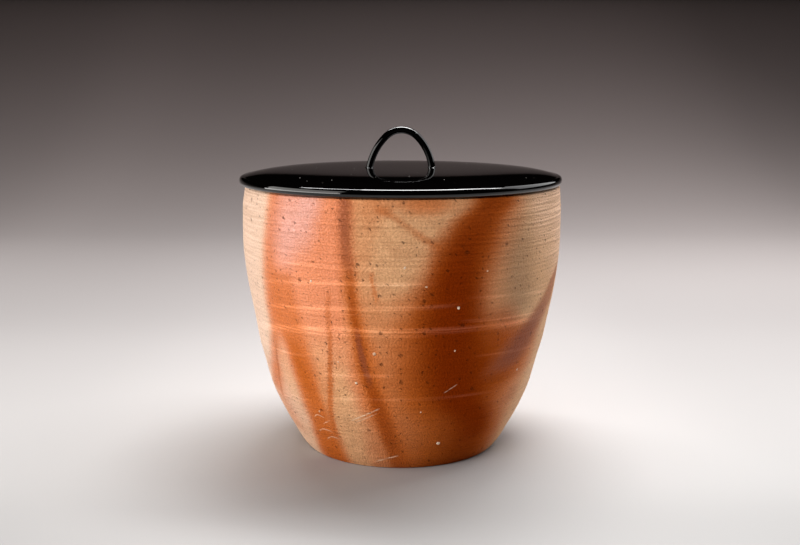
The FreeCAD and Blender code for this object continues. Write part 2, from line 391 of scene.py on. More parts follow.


# The fire marks in the order that they lie on each other, with marks of painted light and shade among them:
# broad flushes first, cords last
FIRE_MARKS = (
    # Painted light and shade: a paler lit left side with a painted sheen, a paler lit top on the right, and
    # khaki painted shade down the right side
    FireMark(
        Tone.PAINTED_LIT_CLAY,
        ((157, -80, 34), (60, -84, 30), (20, -80, 34)),
        ((157, 1.0), (40, 0.9), (10, 0.6)),
        0.35,
        0.3,
    ),
    FireMark(
        Tone.PAINTED_LIT_CLAY,
        ((157, 66, 18), (125, 68, 16), (100, 74, 14)),
        ((157, 0.7), (120, 0.6), (95, 0.0)),
        0.6,
    ),
    FireMark(
        Tone.KHAKI_AND_PAINTED_SHADE,
        ((157, 52, 14), (120, 48, 20), (100, 50, 20), (60, 56, 20), (20, 56, 14)),
        ((157, 0.25), (125, 0.7), (100, 0.9), (20, 0.8)),
        0.5,
    ),
    # A greyer khaki patch low at the front, the clay's own colour
    FireMark(Tone.KHAKI_AND_PAINTED_SHADE, ((30, 6, 7), (16, 8, 8), (4, 9, 7)), ((40, 0.0), (24, 0.5), (8, 0.5)), 0.7),
    # The salmon flush on the left, with lilac patches: their own lilac colour, made paler as a painted sheen
    FireMark(
        Tone.SALMON,
        ((157, -33, 17), (120, -34.5, 18), (100, -36, 18), (88, -37, 17.5), (70, -38, 16), (50, -38, 14)),
        ((157, 1.0), (92, 0.9), (76, 0.55), (60, 0.3), (40, 0.0)),
        0.2,
        0.5,
    ),
    FireMark(
        Tone.LILAC_AND_PAINTED_SHEEN,
        ((157, -42, 5), (130, -44, 6), (106, -44, 5)),
        ((157, 0.5), (140, 0.55), (106, 0.15)),
        0.7,
        0.9,
    ),
    FireMark(
        Tone.LILAC_AND_PAINTED_SHEEN,
        ((157, -32, 5), (138, -35, 5.5), (112, -38, 4)),
        ((157, 0.65), (140, 0.55), (110, 0.0)),
        0.8,
        1.0,
    ),
    # The orange edge of the flush, which swings out to the left lower down
    FireMark(
        Tone.ORANGE,
        (
            (157, -46.5, 3.6), (120, -50, 3.8), (100, -51.5, 3.8), (80, -53.5, 3.6), (65, -57, 4),
            (50, -62, 5), (38, -67, 6),
        ),
        ((157, 0.45), (130, 0.6), (100, 0.75), (60, 0.8), (44, 0.7), (33, 0.0)),
        0.95,
        0.4,
    ),
    # The leg that comes down out of the flush
    FireMark(
        Tone.ORANGE,
        (
            (120, -44, 5), (100, -44, 6.5), (84, -43.5, 7.5), (70, -41, 6.5), (50, -39.5, 6),
            (30, -38, 6.5), (12, -39, 9), (0, -40, 11),
        ),
        ((124, 0.0), (110, 0.75), (60, 0.9), (0, 0.95)),
        0.5,
    ),
    FireMark(
        Tone.AMBER,
        ((84, -43, 3), (66, -41, 3.4), (50, -39, 3.4), (34, -37, 3.6), (16, -38, 6), (0, -40, 8)),
        ((92, 0), (72, 0.65), (54, 0.85), (34, 0.5), (10, 0.7), (0, 0.8)),
        0.8,
        0.05,
    ),
    FireMark(
        Tone.RUST,
        ((76, -54.5, 0.7), (60, -57, 0.8), (45, -60.5, 0.9), (30, -63, 1)),
        ((80, 0), (62, 0.6), (40, 0.5), (30, 0)),
        0.7,
    ),
    # A thin cord line
    FireMark(
        Tone.AMBER,
        (
            (112, -24, 1), (95, -25, 1), (80, -25.5, 1), (60, -27.2, 1.1), (40, -29.7, 1.3),
            (25, -31, 1.7), (12, -31.5, 2.4),
        ),
        ((116, 0), (104, 0.45), (85, 0.7), (50, 0.8), (28, 0.8), (8, 0)),
        0.8,
    ),
    # Faint streaks between the cords
    FireMark(
        Tone.ORANGE,
        ((120, -9.2, 0.8), (104, -8, 0.6)),
        ((123, 0), (116, 0.55), (106, 0.55), (101, 0)),
        0.6,
    ),
    FireMark(
        Tone.SALMON,
        ((100, -20, 4), (80, -19, 4.5), (60, -16, 5), (40, -12, 6)),
        ((110, 0), (90, 0.55), (50, 0.6), (30, 0.3)),
        0.9,
    ),
    FireMark(
        Tone.ORANGE,
        ((157, -9, 6), (146, -10, 4), (130, -12, 3), (100, -12, 4)),
        ((157, 0.55), (140, 0.3), (100, 0.3)),
        0.9,
    ),
    FireMark(
        Tone.ORANGE,
        ((112, -4, 8), (90, -4, 9), (60, -2, 9)),
        ((118, 0), (100, 0.42), (84, 0.5), (60, 0.4), (50, 0)),
        0.9,
    ),
    FireMark(
        Tone.ORANGE,
        ((70, -34, 5), (50, -33, 6), (30, -33, 5)),
        ((76, 0), (60, 0.35), (30, 0.4), (10, 0)),
        0.9,
    ),
    FireMark(
        Tone.AMBER,
        ((60, 0, 8), (40, 3, 9), (20, 6, 9), (0, 9, 9)),
        ((64, 0), (48, 0.45), (20, 0.5), (0, 0.5)),
        0.9,
    ),
    # Painted shade: a darker wash high on the right, beside the dark band
    FireMark(
        Tone.PAINTED_SHADE_TAN,
        ((157, 40, 8), (120, 41, 8.5), (95, 43, 8)),
        ((157, 0.3), (132, 0.55), (98, 0.55), (88, 0)),
        0.9,
    ),
    FireMark(Tone.ORANGE, ((60, -62, 8), (30, -64, 9)), ((66, 0), (50, 0.5), (20, 0.45), (8, 0)), 0.9),
    FireMark(
        Tone.AMBER,
        ((152, -5, 2.4), (149, -3, 2.2), (146, 0, 1.6), (141, 4.5, 1.8), (136, 8.5, 2), (131, 12, 2.6)),
        ((156, 0), (151, 0.55), (144, 0.35), (136, 0.55), (128, 0.3)),
        0.9,
    ),
    FireMark(
        Tone.ORANGE,
        ((157, 8, 9), (150, 8, 7), (143, 10, 6)),
        ((157, 0.75), (150, 0.4), (142, 0)),
        0.8,
    ),
    # The narrow cord, from the rim to the middle of the foot
    FireMark(
        Tone.ORANGE,
        (
            (157, -17.5, 3), (110, -16.5, 3.2), (85, -14.5, 4), (62, -11.5, 5.5), (40, -8, 6),
            (20, -3.5, 6.5), (0, 1, 8),
        ),
        ((157, 0.4), (110, 0.65), (60, 0.85), (40, 0.85), (0, 0.8)),
        0.7,
    ),
    FireMark(
        Tone.AMBER,
        (
            (157, -17.5, 1.4), (110, -16.3, 1.7), (85, -14.6, 2.2), (62, -12.5, 2.4), (40, -8, 2.8),
            (20, -3.6, 3.4), (0, 1.5, 4.5),
        ),
        ((157, 0.5), (110, 0.8), (40, 0.95), (0, 0.95)),
        0.9,
    ),
    FireMark(
        Tone.BROWN,
        (
            (110, -16.3, 0.9), (85, -14.8, 1.2), (62, -12.5, 1.6), (40, -7.8, 2.8), (20, -4.6, 3.2),
            (0, 1, 4),
        ),
        ((125, 0), (105, 0.5), (60, 0.7), (40, 0.9), (0, 0.9)),
        0.8,
        0.05,
    ),
    FireMark(
        Tone.MAUVE,
        ((157, -18, 2.0), (130, -17.4, 2.0), (112, -16.5, 1.6)),
        ((157, 0.6), (130, 0.55), (108, 0)),
        1.0,
        0.3,
    ),
    FireMark(
        Tone.MAUVE,
        ((84, -14.8, 1), (70, -13.6, 1.2), (56, -11.6, 1)),
        ((92, 0), (78, 0.6), (64, 0.6), (50, 0)),
        0.8,
    ),
    # The broad dark band: a wide amber surround, a brown body and an umber heart
    FireMark(
        Tone.ORANGE,
        (
            (157, 33, 12), (140, 27, 14), (120, 22, 15), (105, 19, 18), (92, 20, 23), (80, 28, 30),
            (60, 28, 32), (40, 26, 30), (0, 27, 32),
        ),
        ((157, 0.45), (100, 0.5), (84, 0.75), (50, 0.8), (30, 0.65), (0, 0.75)),
        0.4,
    ),
    FireMark(
        Tone.AMBER,
        (
            (157, 32, 9), (145, 26, 9.5), (132, 22, 11), (120, 19.5, 11), (105, 16, 12.5), (95, 15, 14),
            (85, 19, 19), (75, 27, 27), (60, 27, 29), (45, 22, 22), (30, 27, 21), (15, 30, 23),
            (0, 30, 26),
        ),
        ((157, 0.85), (100, 0.9), (60, 0.95), (36, 0.85), (0, 0.9)),
        0.5,
        0.05,
    ),
    FireMark(
        Tone.BROWN,
        (
            (157, 32, 6.5), (145, 26, 7.5), (132, 22, 9), (120, 19.3, 9), (105, 17.5, 10), (95, 17, 11),
            (85, 18, 13), (75, 22, 17), (60, 25, 19), (45, 24, 15), (30, 30, 14), (15, 33, 14),
            (0, 33, 16),
        ),
        ((157, 0.8), (140, 0.85), (100, 0.95), (60, 0.9), (20, 0.85), (0, 0.7)),
        0.7,
        0.0,
    ),
    FireMark(
        Tone.UMBER,
        (
            (157, 30, 3), (145, 25, 4.5), (132, 20.5, 5.5), (120, 18.5, 6.5), (105, 17.5, 8),
            (90, 18, 9), (75, 18.5, 10), (60, 20, 11), (45, 24, 10), (30, 33, 8), (15, 35, 7),
        ),
        ((157, 0.3), (132, 0.7), (105, 0.9), (50, 0.9), (25, 0.7), (8, 0.2)),
        0.8,
        0.0,
    ),
    FireMark(
        Tone.BROWN,
        ((98, 36, 6), (86, 40, 7.5), (74, 41, 8)),
        ((101, 0), (90, 0.5), (80, 0.4), (68, 0)),
        0.9,
    ),
    # The slanting band on the right, with its smoky heart
    FireMark(
        Tone.RUST,
        (
            (114, 76, 4), (104, 71, 5.5), (96, 67, 7), (88, 61, 8.5), (80, 55, 10), (72, 50, 11),
            (64, 45, 10), (56, 40, 8),
        ),
        ((118, 0), (108, 0.75), (80, 0.7), (62, 0.5), (50, 0)),
        0.5,
    ),
    FireMark(
        Tone.MAUVE,
        ((96, 64, 3), (86, 58, 5), (76, 51, 6.5), (66, 46, 6.5), (58, 42, 5)),
        ((100, 0), (86, 0.6), (70, 0.7), (54, 0)),
        0.8,
    ),
    FireMark(Tone.RUST, ((46, 54, 4), (36, 52, 5)), ((50, 0), (42, 0.35), (32, 0)), 0.9),
    # Marks round the back
    FireMark(
        Tone.SALMON,
        ((157, 128, 20), (90, 134, 17), (30, 142, 12)),
        ((157, 0.9), (70, 0.8), (20, 0)),
        0.25,
        0.5,
    ),
    FireMark(
        Tone.AMBER,
        ((157, 112, 4), (120, 108, 4.5), (70, 98, 6), (20, 92, 8), (0, 90, 9)),
        ((157, 0.9), (0, 0.85)),
        0.5,
    ),
    FireMark(
        Tone.UMBER,
        ((157, 112, 2), (120, 108, 2.2), (70, 98, 3), (20, 92, 4)),
        ((157, 0.5), (60, 0.7), (0, 0.6)),
        0.8,
    ),
    FireMark(
        Tone.ORANGE,
        ((157, 150, 5), (110, 158, 5), (60, 170, 6), (0, 186, 9)),
        ((157, 0.8), (60, 0.9), (0, 0.8)),
        0.5,
    ),
    FireMark(
        Tone.BROWN,
        ((157, 151, 2.2), (110, 159, 2.4), (60, 171, 3), (0, 187, 4)),
        ((157, 0.8), (60, 0.9), (0, 0.8)),
        0.6,
    ),
    FireMark(
        Tone.AMBER,
        ((157, 214, 9), (130, 210, 10), (95, 205, 13), (60, 200, 17), (20, 196, 18), (0, 195, 18)),
        ((157, 0.9), (60, 0.9), (0, 0.8)),
        0.4,
    ),
    FireMark(
        Tone.BROWN,
        ((157, 213, 5), (95, 204, 8), (40, 198, 11), (0, 195, 10)),
        ((157, 0.8), (60, 0.9), (0, 0.7)),
        0.5,
    ),
    FireMark(
        Tone.UMBER,
        ((157, 213, 3), (95, 204, 5), (40, 198, 7), (0, 195, 7)),
        ((157, 0.4), (90, 0.85), (0, 0.5)),
        0.7,
    ),
    FireMark(
        Tone.RUST,
        ((120, 236, 3), (90, 246, 5), (60, 258, 6), (36, 270, 5)),
        ((126, 0), (100, 0.8), (60, 0.8), (30, 0)),
        0.6,
    ),
)


@dataclass(frozen=True)
class WallLine:
    """A line across the wall, such as a painted highlight along a throwing ridge or a scratch.

    Attributes:
        course: Bearing in degrees and height in mm, from left to right.
        half_width: Half its width in mm.
        strength: How pale it is.
    """

    course: tuple[tuple[float, float], ...]
    half_width: float
    strength: float

    def cover(self, sheet: NodeSheet, place: WallPlace, jar_height: float) -> Socket:
        """Return how much the line covers each point.

        Args:
            sheet: The material's nodes.
            place: Where the point is.
            jar_height: The jar's height in mm.

        Returns:
            0 off the line, up to its strength on it.
        """
        start, end = self.course[0][0], self.course[-1][0]
        share = sheet.math("DIVIDE", sheet.math("SUBTRACT", place.bearing, start), end - start)
        heights = [((bearing - start) / (end - start), z / jar_height) for bearing, z in self.course]
        level = sheet.curve(sheet.math("MAXIMUM", 0.0, share, clamp=True), heights)
        off = sheet.math("ABSOLUTE", sheet.math("SUBTRACT", place.height, level))
        body = sheet.step(off, 1.6 * self.half_width / jar_height, 0.0)
        open_end = sheet.step(share, 0.0, 0.2)
        close_end = sheet.step(share, 1.0, 0.8)
        inside = sheet.math("MULTIPLY", open_end, close_end)
        return sheet.math("MULTIPLY", body, sheet.math("MULTIPLY", inside, self.strength))


# Painted highlights: pale lines along the ridges that throwing left, where these would catch the light
RIDGE_HIGHLIGHT_LINES = (
    WallLine(((-60, 107.4), (-40, 110.6), (-16.4, 113.1), (14, 113.3)), 1.3, 0.34),
    WallLine(((-60, 93.6), (-38, 96.8), (-17, 99.4), (24, 101.6)), 1.3, 0.36),
    WallLine(((-48, 92.6), (-30, 95.6), (-10, 96.6)), 0.8, 0.2),
    WallLine(
        ((-78, 78), (-60, 80.2), (-38, 84.8), (-17, 87.4), (13, 87.5), (47, 86.4), (72, 84.0)),
        1.8,
        0.42,
    ),
    WallLine(((-70, 76.5), (-40, 82), (-16, 84.6), (14, 84.8)), 1.0, 0.26),
    WallLine(((18, 92.4), (40, 90.4), (64, 88.2)), 1.0, 0.26),
    WallLine(((20, 105), (44, 103), (66, 100)), 0.9, 0.16),
    WallLine(((-50, 120.2), (-28, 121.6), (0, 121.4)), 1.0, 0.2),
    WallLine(((-34, 58.8), (-18, 61.0), (0, 62)), 1.1, 0.26),
    WallLine(((-36, 44.6), (-12, 46.8), (14, 47.6), (44, 46.8)), 1.0, 0.2),
    WallLine(((26, 71), (46, 69.6), (64, 68)), 0.9, 0.2),
    WallLine(((-64, 66), (-48, 68), (-32, 69.4)), 1.0, 0.2),
)
SCRATCHES = (
    WallLine(((-21.9, 32.0), (-14, 37.5), (-7.8, 42.1)), 0.5, 0.75),
    WallLine(((-20.5, 31.0), (-13, 36), (-9, 39)), 0.35, 0.5),
    WallLine(((-36.9, 26.6), (-31.4, 30.7)), 0.4, 0.5),
    WallLine(((-14.4, 4.3), (-7, 7.6), (-0.3, 10.2)), 0.5, 0.75),
    WallLine(((16.3, 50.1), (22, 55.3)), 0.35, 0.55),
    WallLine(((-42, 20.5), (-37, 23), (-32, 22)), 0.45, 0.55),
    WallLine(((-39, 15.5), (-34, 18.5), (-30, 18)), 0.45, 0.5),
    WallLine(((-41, 30), (-38, 32.4), (-34, 31)), 0.4, 0.5),
)


@dataclass(frozen=True)
class FiredClay:
    """The outside of the stoneware: fire marks over sandy clay with throwing lines, and light and shade
    painted into its colour.

    Attributes:
        jar_height: The jar's height.
        mean_radius: The radius that bearings are rolled out at.
        roughness: How dull the dry clay is.
        relief: What one unit of the fine relief stands for.
    """

    jar_height: float
    mean_radius: float = 89 * MM
    roughness: float = 0.55
    relief: float = 1 * MM

    def wall_place(self, sheet: NodeSheet) -> WallPlace:
        """Work out bearing, height and the rolled-out wall from Object coordinates.

        Args:
            sheet: The material's nodes.

        Returns:
            The three as sockets.
        """
        x, y, z = sheet.split(sheet.place())
        radians = sheet.math("ARCTAN2", x, sheet.math("MULTIPLY", y, -1.0))
        bearing = sheet.math("MULTIPLY", radians, 360 / FULL_TURN)
        height = sheet.math("DIVIDE", z, self.jar_height)
        along = sheet.math("MULTIPLY", radians, self.mean_radius / MM)
        return WallPlace(bearing, height, sheet.join(along, sheet.math("DIVIDE", z, MM)))

    def wandering(self, sheet: NodeSheet, place: WallPlace) -> WallPlace:
        """Let the marks' edges wander a little, as a flame leaves them.

        Args:
            sheet: The material's nodes.
            place: The true place.

        Returns:
            The place as the marks see it.
        """
        slow = sheet.noise(place.spread, 0.06, 2.0)
        quick = sheet.noise(place.spread, 0.8, 4.0, 0.75)
        sway = sheet.math("MULTIPLY_ADD", slow, 1.6, -0.8)
        fray = sheet.math("MULTIPLY_ADD", quick, 5.0, -2.5)
        bearing = sheet.math("ADD", place.bearing, sheet.math("ADD", sway, fray))
        return WallPlace(bearing, place.height, place.spread)

    def round_lines(self, sheet: NodeSheet, place: WallPlace, spacing: float, detail: float = 0.0) -> Socket:
        """Return lines that turning leaves round the wall.

        Args:
            sheet: The material's nodes.
            place: The true place.
            spacing: Their spacing in mm.
            detail: How many finer layers they have.

        Returns:
            A noise from 0 to 1 that runs round the jar.
        """
        stretch = sheet.tree.nodes.new("ShaderNodeVectorMath")
        stretch.operation = "MULTIPLY"
        sheet.feed(stretch.inputs[0], place.spread)
        stretch.inputs[1].default_value = (0.03, 1.0, 1.0)
        return sheet.noise(stretch.outputs["Vector"], 0.8 / spacing, detail, 0.55)

    def paint(self, sheet: NodeSheet, place: WallPlace) -> tuple[Socket, Socket]:
        """Lay the fire marks, with the painted light and shade among them, over the clay.

        Args:
            sheet: The material's nodes.
            place: The true place.

        Returns:
            The colour and how much it shines.
        """
        jar_height = self.jar_height / MM
        marked = self.wandering(sheet, place)
        mottle = sheet.noise(place.spread, 0.12, 4.0, 0.6)
        colour = sheet.mix(sheet.step(mottle, 0.3, 0.7), Tone.CLAY.colour(), Tone.DUSKY_CLAY.colour())
        sheen: Value = 0.2
        for mark in FIRE_MARKS:
            cover = mark.cover(sheet, marked, jar_height)
            colour = sheet.mix(cover, colour, mark.tone.colour())
            keep = sheet.math("SUBTRACT", 1.0, cover)
            sheen = sheet.math("MULTIPLY_ADD", cover, mark.sheen, sheet.math("MULTIPLY", sheen, keep))
        return colour, sheen

    def lines(self, sheet: NodeSheet, place: WallPlace, lines: Sequence[WallLine]) -> Socket:
        """Return how pale a set of lines makes the wall.

        Args:
            sheet: The material's nodes.
            place: The true place.
            lines: The lines.

        Returns:
            0 off the lines, more on them.
        """
        pale: Value = 0.0
        for line in lines:
            pale = sheet.math("MAXIMUM", pale, line.cover(sheet, place, self.jar_height / MM))
        streaky = sheet.step(self.round_lines(sheet, place, 0.7), 0.35, 0.6, 0.3, 1.0)
        return sheet.math("MULTIPLY", pale, streaky)

    def pits(self, sheet: NodeSheet, place: WallPlace, spacing: float, radius: float, share: float) -> Socket:
        """Return ragged pits scattered on the wall.

        Args:
            sheet: The material's nodes.
            place: The true place.
            spacing: How far apart they may lie, in mm.
            radius: The radius of the largest ones, in mm.
            share: The share of the places that have one.

        Returns:
            1 in the middle of a pit, falling to 0 at its edge.
        """
        ragged = sheet.math("MULTIPLY_ADD", sheet.noise(place.spread, 0.9, 1.0), 2.4, -1.2)
        across, up, _ = sheet.split(place.spread)
        moved = sheet.join(sheet.math("ADD", across, ragged), sheet.math("SUBTRACT", up, ragged))
        return sheet.spots(moved, spacing, radius, share)

    def dress(self) -> bpy.types.Material:
        """Build the material.

        Returns:
            The finished material.
        """
        sheet = NodeSheet("fired_clay_outside")
        place = self.wall_place(sheet)
        colour, sheen = self.paint(sheet, place)
        rills = self.round_lines(sheet, place, 1.0)
        bands = self.round_lines(sheet, place, 4.5, 1.0)
        grit = sheet.noise(place.spread, 0.9, 5.0, 0.75)
        lumps = sheet.noise(place.spread, 0.8, 1.0, 0.6)
        wide_pits = self.pits(sheet, place, 11.0, 1.3, 0.35)
        small_pits = self.pits(sheet, place, 3.8, 0.7, 0.5)
        high = sheet.step(place.height, 0.6, 0.9, 0.4, 1.0)
        # Painted shade and light: the rills and the broad turning bands darken the colour in their hollows
        # and lighten it on their crests, over the grit's random speckle
        rill_depth = sheet.math("MULTIPLY", sheet.math("SUBTRACT", rills, 0.5), high)
        shade = sheet.math("MULTIPLY_ADD", rill_depth, 0.45, 1.0)
        shade = sheet.math("MULTIPLY", shade, sheet.math("MULTIPLY_ADD", bands, 0.1, 0.95))
        shade = sheet.math("MULTIPLY", shade, sheet.math("MULTIPLY_ADD", grit, 1.2, 0.47))
        # Painted highlight: the throwing lines lighten the colour and pale it towards the lit clay, as their
        # ridges would catch the light
        thrown = self.lines(sheet, place, RIDGE_HIGHLIGHT_LINES)
        shade = sheet.math("MULTIPLY", shade, sheet.math("MULTIPLY_ADD", thrown, 1.2, 1.0))
        warm = sheet.join(shade, sheet.math("POWER", shade, 1.2), sheet.math("POWER", shade, 1.45))
        colour = sheet.mix(1.0, colour, warm, "MULTIPLY")
        colour = sheet.mix(sheet.math("MULTIPLY", thrown, 0.2), colour, Tone.PAINTED_LIT_CLAY.colour())
        colour = sheet.mix(self.lines(sheet, place, SCRATCHES), colour, Tone.WHITE.colour())
        # Painted shade: the pits are darkened towards a dark brown, where shade falls in them
        hollow = sheet.math("MAXIMUM", wide_pits, small_pits)
        colour = sheet.mix(sheet.math("MULTIPLY", hollow, 0.5), colour, Tone.PIT_SHADE.colour())
        height = sheet.math("MULTIPLY_ADD", rill_depth, 0.65, sheet.math("MULTIPLY", lumps, 0.7))
        height = sheet.math("MULTIPLY_ADD", bands, 0.4, height)
        height = sheet.math("MULTIPLY_ADD", wide_pits, -1.2, height)
        height = sheet.math("MULTIPLY_ADD", small_pits, -0.7, height)
        rough = sheet.math("MULTIPLY_ADD", sheen, -0.3, self.roughness)
        rough = sheet.math("MULTIPLY_ADD", grit, 0.2, sheet.math("SUBTRACT", rough, 0.1))
        sheet.set(Base_Color=colour, Roughness=rough, Normal=sheet.bump(height, self.relief))
        sheet.set(Specular_IOR_Level=sheet.math("MULTIPLY", sheen, 0.6))
        return sheet.material


@dataclass(frozen=True)
class BareClay:
    """The inside and the underside: the same clay with no flame on it."""

    roughness: float = 0.75
    relief: float = 0.3 * MM

    def dress(self) -> bpy.types.Material:
        """Build the material.

        Returns:
            The finished material.
        """
        sheet = NodeSheet("fired_clay_inside")
        place = sheet.place()
        clouds = sheet.noise(place, 22.0, 3.0)
        grit = sheet.noise(place, 1300.0, 3.0, 0.65)
        colour = sheet.mix(sheet.step(clouds, 0.35, 0.65), linear(196, 146, 102), linear(172, 118, 78))
        colour = sheet.mix(sheet.math("MULTIPLY", grit, 0.3), colour, linear(120, 80, 54))
        sheet.set(Base_Color=colour, Roughness=self.roughness, Normal=sheet.bump(grit, self.relief))
        return sheet.material


@dataclass(frozen=True)
class WhiteStone:
    """Grains of feldspar that stand out of the fired clay."""

    roughness: float = 0.4

    def dress(self) -> bpy.types.Material:
        """Build the material.

        Returns:
            The finished material.
        """
        sheet = NodeSheet("white_stone")
        stain = sheet.noise(sheet.place(), 500.0, 3.0)
        colour = sheet.mix(sheet.step(stain, 0.4, 0.7), linear(244, 222, 196), linear(206, 150, 108))
        sheet.set(Base_Color=colour, Roughness=self.roughness, Normal=sheet.bump(stain, 0.2 * MM))
        return sheet.material


@dataclass(frozen=True)
class BlackLacquer:
    """Polished black lacquer, with a little dust and the faint waves of rubbing."""

    roughness: float = 0.035
    refraction: float = 1.55
    relief: float = 0.02 * MM
    # Dust lies between these heights only, on the top of the board
    dust_from_z: float = 164.2 * MM
    dust_to_z: float = 166.9 * MM

    def dress(self) -> bpy.types.Material:
        """Build the material.

        Returns:
            The finished material.
        """
        sheet = NodeSheet("black_lacquer")
        place = sheet.place()
        waves = sheet.noise(place, 60.0, 2.0)
        haze = sheet.noise(place, 260.0, 4.0, 0.7)
        across, along, rise = sheet.split(place)
        laid = sheet.join(across, sheet.math("MULTIPLY", along, 0.3))
        dust = sheet.spots(laid, 4.6 * MM, 0.3 * MM, 0.22)
        dust = sheet.math("MULTIPLY", dust, sheet.step(rise, self.dust_from_z, self.dust_from_z + 1 * MM))
        dust = sheet.math("MULTIPLY", dust, sheet.step(rise, self.dust_to_z + 0.3 * MM, self.dust_to_z))
        colour = sheet.mix(haze, linear(1, 1, 1), linear(3, 2, 2))
        colour = sheet.mix(dust, colour, linear(150, 146, 140))
        rough = sheet.math("MULTIPLY_ADD", haze, 0.03, self.roughness - 0.015)
        rough = sheet.math("MULTIPLY_ADD", dust, 0.5, rough)
        sheet.set(Base_Color=colour, Roughness=rough, Normal=sheet.bump(waves, self.relief))
        sheet.set(IOR=self.refraction)
        return sheet.material


@dataclass(frozen=True)
class WedgeWood:
    """Pale straight-grained wood of the wedges under the lid."""

    roughness: float = 0.6

    def dress(self) -> bpy.types.Material:
        """Build the material.

        Returns:
            The finished material.
        """
        sheet = NodeSheet("wedge_wood")
        x, y, z = sheet.split(sheet.place())
        grain = sheet.noise(sheet.join(x, y, sheet.math("MULTIPLY", z, 0.1)), 2600.0, 3.0)
        colour = sheet.mix(grain, linear(176, 132, 84), linear(120, 80, 46))
        sheet.set(Base_Color=colour, Roughness=self.roughness, Normal=sheet.bump(grain, 0.05 * MM))
        return sheet.material


def on_axis_plane(radius: float, height: float) -> Vector:
    """Return a point of the plane that a turned shape's outline is drawn on."""
    return Vector((radius, 0.0, height))


def bezier(poles: Sequence[Vector], steps: int) -> list[Vector]:
    """Return points of a Bezier curve, both ends among them.

    Args:
        poles: The curve's poles.
        steps: How many stretches the points cut it into.

    Returns:
        The points in order.
    """
    points = []
    for step in range(steps + 1):
        share = step / steps
        level = list(poles)
        while len(level) > 1:
            level = [a.lerp(b, share) for a, b in zip(level, level[1:])]
        points.append(level[0])
    return points


def wobble(spot: Vector) -> Vector:
    """Return a small push in any direction that is the same for a place in each run.

    Args:
        spot: The place, in the noise's own units.

    Returns:
        A vector with parts between -1 and 1.
    """
    offsets = (Vector((0.0, 0.0, 0.0)), Vector((31.7, 12.3, 5.9)), Vector((7.1, 43.9, 21.3)))
    return Vector([noise.noise(spot + offset) for offset in offsets])


def quarter_ellipse(corner: Vector, width: float, height: float, steps: int) -> list[Vector]:
    """Return points that round an outer lower corner, from the upright edge to the underside.

    Args:
        corner: The corner that is rounded off.
        width: How far in the curve ends.
        height: How far up it starts.
        steps: How many stretches it has.

    Returns:
        The points in order.
    """
    centre = corner + on_axis_plane(-width, height)
    turns = [math.pi / 2 * step / steps for step in range(steps + 1)]
    return [centre + on_axis_plane(width * math.cos(turn), -height * math.sin(turn)) for turn in turns]


def without_ends(points: Sequence[Vector], room: float) -> list[Vector]:
    """Drop the points of a line that lie closer than room to either end, the ends aside.

    Args:
        points: The line's points.
        room: What a rounded corner at each end needs.

    Returns:
        The points that stay.
    """
    first, last = points[0], points[-1]
    inner = [p for p in points[1:-1] if (p - first).length > room and (p - last).length > room]
    return [first, *inner, last]


def turned(outline: Sequence[Vector], closed: bool = False) -> bmesh.types.BMesh:
    """Spin an outline once round the Z axis.

    Args:
        outline: Points of the XZ plane. An open outline starts and ends on the axis.
        closed: Whether the last point joins the first.

    Returns:
        The closed shape, its faces pointing outwards.
    """
    shape = bmesh.new()
    points = [shape.verts.new(point) for point in outline]
    ends = points[1:] + points[:1] if closed else points[1:]
    lines = [shape.edges.new(pair) for pair in zip(points, ends)]
    bmesh.ops.spin(
        shape, geom=points + lines, axis=(0, 0, 1), cent=(0, 0, 0), angle=FULL_TURN,
        steps=TURN_STEPS, use_merge=True,
    )
    bmesh.ops.remove_doubles(shape, verts=shape.verts, dist=0.1 * NEAR)
    bmesh.ops.recalc_face_normals(shape, faces=shape.faces)
    return shape


def round_ring(
    shape: bmesh.types.BMesh, radius: float, height: float, rounding: float, segments: int
) -> None:
    """Round the circular edge of a turned shape at a radius and a height.

    Args:
        shape: The turned shape.
        radius: The edge's radius.
        height: The edge's height.
        rounding: The radius that it is rounded to.
        segments: How many strips the rounding has.
    """
    ring = [
        edge for edge in shape.edges
        if all(abs(v.co.xy.length - radius) < NEAR and abs(v.co.z - height) < NEAR for v in edge.verts)
    ]
    offset = rounding * math.tan(ring[0].calc_face_angle() / 2)
    bmesh.ops.bevel(
        shape, geom=ring, offset=offset, offset_type="OFFSET", segments=segments, profile=0.5,
        affect="EDGES", material=-1,
    )


def finished(
    name: str, shape: bmesh.types.BMesh, materials: Sequence[bpy.types.Material]
) -> bpy.types.Object:
    """Turn a bmesh into a smooth object at the origin and link it to the scene.

    Args:
        name: The piece's name.
        shape: Its shape, which is freed.
        materials: Its materials in order.

    Returns:
        The new object.
    """
    mesh = bpy.data.meshes.new(name)
    shape.to_mesh(mesh)
    shape.free()
    for polygon in mesh.polygons:
        polygon.use_smooth = True
    for material in materials:
        mesh.materials.append(material)
    piece = bpy.data.objects.new(name, mesh)
    bpy.context.scene.collection.objects.link(piece)
    return piece


